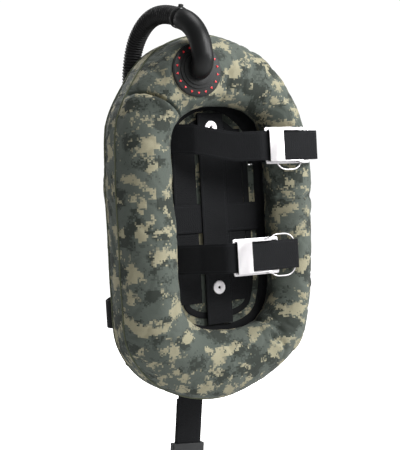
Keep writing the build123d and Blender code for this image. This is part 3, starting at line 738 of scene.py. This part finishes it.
def build_wing():
    verts = wing_points.reshape(-1, 3) * MM
    columns = WING_COLUMNS
    faces, loop_uv = [], []
    for i in range(WING_AROUND):
        n = (i + 1) % WING_AROUND
        for j in range(columns - 1):
            faces.append((i * columns + j, n * columns + j, n * columns + j + 1, i * columns + j + 1))
            panel = 0 if j < FRONT_SEAM else 1 if j < BACK_SEAM else 2
            uv = panel_uv[panel]
            loop_uv += [uv[i, j], uv[i + 1, j], uv[i + 1, j + 1], uv[i, j + 1]]
        faces.append((i * columns + columns - 1, n * columns + columns - 1, n * columns, i * columns))
        uv = panel_uv[2]
        loop_uv += [uv[i, columns - 1], uv[i + 1, columns - 1], uv[i + 1, columns - 1], uv[i, columns - 1]]
    wing = mesh_object("wing", verts, faces, CAMO)
    layer = wing.data.uv_layers.new(name="UVMap")
    layer.data.foreach_set("uv", (np.array(loop_uv) * MM).ravel())
    sharp = wing.data.attributes.new("sharp_edge", "BOOLEAN", "EDGE")
    keys = np.zeros(len(wing.data.edges) * 2, int)
    wing.data.edges.foreach_get("vertices", keys)
    keys = keys.reshape(-1, 2) % columns
    seams = ((keys[:, 0] == keys[:, 1]) & np.isin(keys[:, 0], (FRONT_SEAM, BACK_SEAM)))
    sharp.data.foreach_set("value", seams)
    return wing


wing = build_wing()
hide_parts("wing_cover", "air_bladder")
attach(wing, ROOT)

# Welted piping along the gusset's two seams
normals = wing_normals(wing_points)
for name, column in (("welt_front", FRONT_SEAM), ("welt_back", BACK_SEAM)):
    ring = (wing_points[:, column] + normals[:, column] * 0.5) * MM
    ring = np.vstack([ring, ring[:1]])
    radii = [0.0013 + 0.0002 * noise.noise(Vector(p) * 260) for p in ring]
    finish_piece(tube_along(name, ring, radii, (0, 1, 0), 10, EDGING), "binding", ROOT)

# Cloth flange from inside the wing's root to inside the centre panel, deeper round the arched top
outward = (rim_points - hole_points) / np.linalg.norm(rim_points - hole_points, axis=1)[:, None]
into_wing = 1.5
into_panel = 20 + np.clip((hole_points[:, 1] - 100) / 10, 0, 8)
flange_points = []
for distance, y in ((-into_panel, 2.4), (into_wing, 3.2), (into_wing, 1.6), (-into_panel, 0.8)):
    edge = hole_points + outward * np.reshape(distance, (-1, 1))
    flange_points.append(np.stack([edge[:, 0], np.full(len(edge), y), edge[:, 1]], 1) * MM)
wing_flange = mesh_object("wing_flange", np.stack(flange_points, 1).reshape(-1, 3),
                          grid_faces(WING_AROUND, 4, close_rows=True), TAPE, smooth=False)
finish_piece(wing_flange, "binding", ROOT)


# ---- straps
def rounded_route(points, radii, step=1.5):
    """Evenly stepped 2-D points in mm along a polyline whose corners are tangent arcs."""
    points = [np.array(p, float) for p in points]
    line = [points[0]]
    for before, corner, after, radius in zip(points, points[1:], points[2:], radii):
        back = (before - corner) / np.linalg.norm(before - corner)
        ahead = (after - corner) / np.linalg.norm(after - corner)
        half = math.acos(float(np.clip(back.dot(ahead), -1, 1))) / 2
        reach = radius / math.tan(half)
        centre = corner + (back + ahead) / np.linalg.norm(back + ahead) * radius / math.sin(half)
        start, end = corner + back * reach - centre, corner + ahead * reach - centre
        turn = math.pi - 2 * half
        sign = 1 if start[0] * end[1] - start[1] * end[0] > 0 else -1
        count = max(4, int(radius * turn / step))
        for k in range(count + 1):
            angle = sign * turn * k / count
            line.append(centre + (start[0] * math.cos(angle) - start[1] * math.sin(angle),
                                  start[0] * math.sin(angle) + start[1] * math.cos(angle)))
    line.append(points[-1])
    line = np.array(line)
    lengths = np.r_[0, np.cumsum(np.linalg.norm(np.diff(line, axis=0), axis=1))]
    keep = np.r_[True, np.diff(lengths) > 1e-6]
    line, lengths = line[keep], lengths[keep]
    at = np.linspace(0, lengths[-1], max(3, int(lengths[-1] / step)))
    return np.stack([np.interp(at, lengths, line[:, k]) for k in range(2)], 1), at


WEB_COLUMNS = 12
WEB_WAVE, WEB_FRAY = 0.35, 0.25


def web_profile(width, thickness):
    """Points round a webbing's section: (across, thick, texture across), all in mm."""
    round_at = min(thickness * 0.46, 1.1)
    half, deep = width / 2, thickness / 2
    side = np.linspace(-half + round_at, half - round_at, WEB_COLUMNS)
    top = [(s, deep, s + half) for s in side]
    right = [(half - round_at + round_at * math.cos(a), (deep - round_at) * (1 if a > 0 else -1)
              + round_at * math.sin(a), width - 0.4) for a in (1.0, 0.35, -0.35, -1.0)]
    bottom = [(s, -deep, s + half) for s in side[::-1]]
    left = [(-x, -t, 0.4) for x, t, _ in right]
    return top + right + bottom + left


def strap(name, to_space, route, radii, width=50.0, thickness=2.5, drift=None, step=1.5, seed=0.0):
    """Webbing along a 2-D route in mm; to_space gives the 3-D place of (a, b, across), and drift a sideways
    offset by a."""
    path, at = rounded_route(route, radii, step)
    tangent = np.gradient(path, axis=0)
    tangent /= np.linalg.norm(tangent, axis=1)[:, None]
    normal = np.stack([-tangent[:, 1], tangent[:, 0]], 1)
    profile = web_profile(width, thickness)
    verts, uvs = [], []
    for i, (point, out, run) in enumerate(zip(path, normal, at)):
        offset = drift(point[0]) if drift else 0.0
        for across, thick, texture in profile:
            ripple = WEB_WAVE * noise.noise(Vector((run * 0.028 + seed, across * 0.03, seed)))
            fray = WEB_FRAY * noise.noise(Vector((run * 0.12, seed + (5 if across > 0 else 9), 0)))
            side = across + (fray if abs(across) > width / 2 - 1.5 else 0.0)
            spot = point + out * (thick + ripple)
            verts.append(Vector(to_space(spot[0], spot[1], side + offset)) * MM)
            uvs.append((texture * MM, run * MM))
    count = len(profile)
    faces = grid_faces(len(path), count)
    faces.append(tuple(range(count))[::-1])
    faces.append(tuple((len(path) - 1) * count + k for k in range(count)))
    obj = mesh_object(name, verts, faces, WEBBING, uvs)
    obj.data.set_sharp_from_angle(angle=math.radians(60))
    fix_normals(obj)
    return obj


def smoothstep(value, low, high):
    t = min(1.0, max(0.0, (value - low) / (high - low)))
    return t * t * (3 - 2 * t)


# Tank bands, (X, Y) in mm. The upper one is drawn up at its left end, where it hangs slack
SLOT_X = 82.0
UPPER_BAND_Z, LOWER_BAND_Z = 100.0, -86.0
UPPER_BAND_RISE = 19.0


def upper_rise(x):
    """How far the upper band lies above its slots' level at X."""
    return UPPER_BAND_RISE * smoothstep(-x, -24, 74)


for side, band_z, buckle_x, fold_x, frame_y, turn_y, rise, seed in (
        ("upper", UPPER_BAND_Z, 60, 164, -88, -78, upper_rise, 3.0),
        ("lower", LOWER_BAND_Z, -10, 118, -82, -75, None, 8.0)):
    band_y = frame_y - 4.2
    tail_y = band_y + 5.4
    route = [(buckle_x + 65, frame_y + 6.6), (92, turn_y), (SLOT_X, -30), (SLOT_X, 8), (-SLOT_X, 8),
             (-SLOT_X, -14), (-SLOT_X + 32, -44), (buckle_x - 8, band_y), (fold_x, band_y), (fold_x, tail_y),
             (buckle_x + 92, tail_y)]
    band = strap(side + "_tank_band", lambda a, b, across, z=band_z: (a, b, z + across), route,
                 [10, 12, 4, 4, 5, 20, 20, 2.6, 2.6], drift=rise, seed=seed)
    finish_piece(band, "webbing", ROOT, side + "_band")


# Harness: shoulder straps, (Y, Z) in mm, waist straps, (X, Y), and the crotch strap
SHOULDER_ROUTE = [(9, 129), (66, 157), (74, 208), (106, 226), (146, 186), (156, 60), (138, -70), (84, -128),
                  (8.6, -140)]
for side, x in (("left", -55.0), ("right", 55.0)):
    shoulder = strap(side + "_shoulder", lambda a, b, across, x=x: (x + across, a, b), SHOULDER_ROUTE,
                     [16, 24, 20, 24, 80, 80, 40], seed=x)
    finish_piece(shoulder, "webbing", ROOT, side + "_shoulder_strap")

WAIST_Z, WAIST_Y = -181.0, 200.0
WAIST_ROUTE = [(40, 8.4), (50, 8.4), (63, 67), (118, 74), (168, 112), (132, 178), (40, WAIST_Y)]
for side, route in (("left", [(-x, y) for x, y in WAIST_ROUTE] + [(-20, WAIST_Y)]),
                    ("right", WAIST_ROUTE + [(-8, WAIST_Y)])):
    waist = strap(side + "_waist", lambda a, b, across: (a, b, WAIST_Z + across), route,
                  [6, 6, 30, 26, 40, 60][:len(route) - 2], seed=len(side))
    finish_piece(waist, "webbing", ROOT, side + "_waist_strap")

CROTCH_ROUTE = [(9, -190), (52, -214), (74, -246), (92, -330), (93, -500), (98.4, -500), (98.4, -352)]
CROTCH_TOP_Z = -190.0
CROTCH_LEAN = math.radians(6.5)


def crotch_place(a, b, across):
    """The crotch strap hangs in a plane that leans to the diver's left."""
    down = b - CROTCH_TOP_Z
    return (down * math.sin(CROTCH_LEAN) + across * math.cos(CROTCH_LEAN), a,
            CROTCH_TOP_Z + down * math.cos(CROTCH_LEAN) - across * math.sin(CROTCH_LEAN))


crotch = strap("crotch_webbing", crotch_place, CROTCH_ROUTE, [16, 24, 200, 2.6, 2.6], seed=21.0)
finish_piece(crotch, "webbing", "crotch", "crotch_strap")


# ---- panel and tapes
SWELL_SCALE = 45.0


def dressed(obj, material, angle):
    """Smooth shading with sharp edges above an angle in degrees, and one material."""
    obj.data.materials.clear()
    obj.data.materials.append(material)
    obj.data.polygons.foreach_set("use_smooth", [True] * len(obj.data.polygons))
    obj.data.set_sharp_from_angle(angle=math.radians(angle))


def cad_copy(node, name):
    """A copy of a CAD node's mesh with its faces joined up."""
    source = frame["nodes"][node]
    data = source.data.copy()
    obj = link(bpy.data.objects.new(name, data))
    data.materials.clear()
    work = bmesh.new()
    work.from_mesh(data)
    bmesh.ops.remove_doubles(work, verts=work.verts, dist=2e-6)
    bmesh.ops.dissolve_limit(work, angle_limit=math.radians(0.6), verts=work.verts, edges=work.edges)
    work.to_mesh(data)
    work.free()
    return obj


def refined(node, material, slot, width, segments=2):
    """Stand a bevelled copy in for a hard CAD node."""
    obj = cad_copy(node, node + "_detail")
    if width:
        bevelled(obj, width, segments, 30)
    dressed(obj, material, 32)
    return finish_piece(obj, slot, frame["nodes"][node]["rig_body"], node)


def soft_copy(node, material, slot, edge, cell=0.006, wave=0.0003):
    """Stand a finely divided, slightly uneven copy in for a flat sewn CAD node."""
    obj = cad_copy(node, node + "_cloth")
    bevelled(obj, edge, 2, 40)
    work = bmesh.new()
    work.from_mesh(obj.data)
    bmesh.ops.triangulate(work, faces=work.faces)
    for _ in range(6):
        long_edges = [e for e in work.edges if e.calc_length() > cell]
        if not long_edges:
            break
        bmesh.ops.subdivide_edges(work, edges=long_edges, cuts=1)
        bmesh.ops.triangulate(work, faces=[f for f in work.faces if len(f.verts) > 3])
    for vert in work.verts:
        place = vert.co * SWELL_SCALE
        vert.co.y += wave * noise.noise(place) + 0.4 * wave * noise.noise(place * 3)
    work.to_mesh(obj.data)
    work.free()
    dressed(obj, material, 40)
    return finish_piece(obj, slot, frame["nodes"][node]["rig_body"], node)


def woven_tape(name, colour):
    """Grosgrain tape, ribbed across its length, for rings and edges that turn every way."""
    look = Look(name, Roughness=0.75, Sheen_Weight=0.03, Specular_IOR_Level=0.16)
    place = look.place()
    rib = look.add("TexVoronoi", {"Vector": place, "Scale": 700.0, "Randomness": 0.6}).outputs["Distance"]
    cloud = look.noise(place, 30.0, 3.0, 0.6)
    base = srgb(*colour)
    lighter = brighter(base, 1.9)
    look.set(Base_Color=look.mix(look.times(cloud, 0.8), base, lighter),
             Normal=look.bump(rib, 0.0003, 0.7), Roughness=look.spread(rib, 0.6, 0.85))
    return look.material


RING_TAPE = woven_tape("ring_tape", (15, 16, 18))
soft_copy("centre_panel", CAMO_FLAT, "camo_fabric", 0.0008, 0.007, 0.0005)
soft_copy("outer_binding", RING_TAPE, "binding", 0.0009)
soft_copy("inner_ring_tape", RING_TAPE, "binding", 0.0005)


def flat_web(name, low, high, front_y, thickness, upright, seed, nodes=()):
    """Straight webbing between two corners (X, Z) in mm, with its tank face at front_y."""
    (x0, z0), (x1, z1) = low, high
    y_mid = front_y + thickness / 2

    def place(a, b, across):
        return ((x0 + x1) / 2 + across, b, a) if upright else (a, b, (z0 + z1) / 2 + across)

    ends, width = ((z0, z1), x1 - x0) if upright else ((x0, x1), z1 - z0)
    web = strap(name, place, [(end, y_mid) for end in ends], [], width, thickness, step=3.0, seed=seed)
    finish_piece(web, "webbing", ROOT, *nodes)


flat_web("spine_webbing", (-25, -203), (25, 165.5), -9.0, 2.5, True, 1.0, ["spine_strap"])
flat_web("spine_webbing_under", (-24, -200), (24, 164), -5.4, 2.5, True, 2.0)
flat_web("side_webbing_left", (-75, -165), (-31, 118), -3.9, 2.2, True, 3.0, ["side_strips"])
flat_web("side_webbing_right", (27, -165), (62, 138), -3.9, 2.2, True, 4.0)
flat_web("cross_webbing_left", (-87.5, -43), (-25.5, 7), -6.5, 2.5, False, 5.0, ["cross_strap"])
flat_web("cross_webbing_right", (25.5, -43), (87.5, 7), -6.5, 2.5, False, 6.0)


# ---- back pad
PAD_CROWN, PAD_CHANNEL = 0.0022, 0.0048
PAD_EDGING_R = 0.0016


def build_pad():
    """Pad crowned towards the back, with two sewn channels along it and a corded edge."""
    low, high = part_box("back_pad")
    centre = (low + high) / 2
    half_x, half_z = (high.x - low.x) / 2, (high.z - low.z) / 2
    rows, columns = 96, 56
    verts, uvs = [], []
    for face in (1, -1):
        for i in range(rows):
            for j in range(columns):
                u, v = 2 * j / (columns - 1) - 1, 2 * i / (rows - 1) - 1
                # Square grid drawn in to a rounded rectangle
                x = u * (1 - 0.10 * abs(v) ** 8) * half_x
                z = v * (1 - 0.045 * abs(u) ** 8) * half_z
                edge = min(1.0, max(0.0, 1 - max(abs(u), abs(v)) ** 10))
                rise = edge ** 0.5
                if face > 0:
                    channel = sum(math.exp(-((u - c) / 0.035) ** 2) for c in (-0.34, 0.34))
                    cross = sum(math.exp(-((v - c) / 0.02) ** 2) for c in (-0.55, 0.0, 0.55))
                    puff = 1 + 0.10 * noise.noise(Vector((u * 3, v * 5, 1)))
                    y = (centre.y + (high.y - centre.y + PAD_CROWN) * rise * puff
                         - PAD_CHANNEL * min(1, channel + 0.6 * cross) * rise)
                else:
                    y = centre.y - (centre.y - low.y) * rise * 0.96
                verts.append((centre.x + x, y, centre.z + z))
                uvs.append((x, z))
    faces = []
    for face, flip in ((0, True), (1, False)):
        start = face * rows * columns
        for quad in grid_faces(rows, columns, close_columns=False):
            quad = tuple(start + k for k in quad)
            faces.append(quad[::-1] if flip else quad)
    pad = mesh_object("back_cushion", verts, faces, FOAM, uvs)
    fix_normals(pad, merge=2e-5)
    finish_piece(pad, "pad_foam", ROOT, "back_pad")
    border = []
    for k in range(200):
        angle = 2 * math.pi * k / 200
        c, s = math.cos(angle), math.sin(angle)
        border.append((centre.x + math.copysign(abs(c) ** 0.24, c) * half_x * 0.985, centre.y - 0.0008,
                       centre.z + math.copysign(abs(s) ** 0.24, s) * half_z * 0.992))
    border = np.array(border + border[:1])
    cord, _ = resampled(border, 0.003)
    edge = tube_along("pad_edging", cord, [PAD_EDGING_R] * len(cord), (0, 1, 0), 10, TAPE)
    finish_piece(edge, "binding", ROOT)


build_pad()


# ---- hardware
# Material, slot, width of the rounded edges in m, segments of that rounding, and nodes
HARDWARE = [
    (STEEL, "steel", 0.0003, 2, "plate_screws plate_washers plate_nuts"),
    *((look, "steel", width, 2, band + "_buckle_" + part) for band in ("upper_band", "lower_band", "waist")
      for part, look, width in (("frame", SATIN, 0.0004), ("pin", STEEL, 0.0002), ("lever", STEEL, 0.0004))),
    (STEEL, "steel", 0, 2, "upper_band_ring lower_band_ring left_shoulder_ring right_shoulder_ring hip_ring"),
    (STEEL, "steel", 0.0003, 2, "shoulder_slides waist_slides"),
    (PLATE, "plate_metal", 0.0006, 2, "backplate"),
    (PLASTIC, "black_plastic", 0.0007, 3, "elbow_flange"),
    (SEAL, "seal_rubber", 0.0003, 2, "flange_gasket"),
    (PLASTIC, "black_plastic", 0.0004, 2, "flange_nut_ring"),
    (RED, "red_marks", 0.0002, 2, "flange_dots"),
    (GLOSS, "hose_rubber", 0.0005, 2, "elbow"),
    (PLASTIC, "black_plastic", 0.0007, 3, "inflator_body"),
    (STEEL, "steel", 0.0002, 2, "feed_nipple"),
    (SEAL, "seal_rubber", 0.0006, 3, "mouthpiece"),
    (PLASTIC, "black_plastic", 0.0003, 2, "hose_tie_upper hose_tie_lower"),
    (BUTTON, "button_grey", 0.0005, 3, "inflate_button deflate_button"),
    (PLASTIC, "black_plastic", 0.0004, 2, "dump_seat dump_nut_ring"),
    (PLASTIC, "black_plastic", 0.0007, 3, "dump_cap"),
    (SEAL, "seal_rubber", 0.0003, 2, "dump_disc"),
    (PLASTIC, "black_plastic", 0.0004, 2, "dump_knob"),
    (CORD, "cord", 0, 2, "dump_pull_cord"),
    (GREY_PLASTIC, "grey_plastic", 0.0008, 3, "crotch_slide"),
    (RING_TAPE, "webbing", 0.0006, 2, "ring_keepers"),
]
for look, slot, width, segments, nodes in HARDWARE:
    for node in nodes.split():
        refined(node, look, slot, width, segments)
# Springs, each with its joint, axis, whether its fixed end is the low one, and travel in mm; each becomes a
# plain steel copy with a mesh of its own
for node, joint, axis, fixed_low, travel in (
        ("dump_spring", "dump_pull_slide", 1, False, 7),
        ("inflate_button_spring", "inflate_press", 1, True, 4),
        ("deflate_button_spring", "deflate_press", 2, False, 4)):
    spring = refined(node, STEEL, "steel", 0)
    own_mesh(spring)


# ---- stage and lights
FLOOR_DROP, FLOOR_HALF = 0.02, 6
WORLD_LIGHT, WORLD_SEEN = 0.27, 1.05
# Name, place in m, size in m and power in W
LIGHTS = [
    ("key", (0.90, -1.85, 1.15), 0.8, 40.0),
    ("side", (1.4, -1.0, 0.5), 0.9, 20.0),
    ("top", (0.25, -0.4, 2.2), 1.2, 24.0),
    ("rear", (-0.3, 1.9, 1.2), 1.4, 38.0),
    ("front", (-0.3, -1.9, 0.4), 1.0, 2.5),
]


def build_stage():
    floor_z = cad_box[0][2] - FLOOR_DROP
    corners = [(x * FLOOR_HALF, y * FLOOR_HALF, floor_z) for x, y in ((-1, -1), (1, -1), (1, 1), (-1, 1))]
    floor = mesh_object("floor", corners, [(0, 1, 2, 3)])
    look = Look("pale_floor", Base_Color=srgb(225, 225, 225), Roughness=0.9, Emission_Color=grey(1.0),
                Emission_Strength=0.0)
    look.set(Emission_Strength=look.add("LightPath").outputs["Is Camera Ray"])
    floor.data.materials.append(look.material)
    world = bpy.data.worlds.new("studio")
    bpy.context.scene.world = world
    world.use_nodes = True
    tree = world.node_tree
    background = tree.nodes["Background"]
    background.inputs["Color"].default_value = grey(1.0)
    seen = tree.nodes.new("ShaderNodeLightPath").outputs["Is Camera Ray"]
    strength = tree.nodes.new("ShaderNodeMapRange")
    tree.links.new(seen, strength.inputs["Value"])
    strength.inputs["To Min"].default_value = WORLD_LIGHT
    strength.inputs["To Max"].default_value = WORLD_SEEN
    tree.links.new(strength.outputs[0], background.inputs["Strength"])
    for name, place, size, power in LIGHTS:
        data = bpy.data.lights.new(name, "AREA")
        data.size, data.energy = size, power
        lamp = link(bpy.data.objects.new(name, data))
        lamp.location = place
        lamp.rotation_euler = (Vector((0, 0, 0)) - Vector(place)).to_track_quat("-Z", "Y").to_euler()


build_stage()
bpy.context.scene.view_settings.view_transform = "Standard"
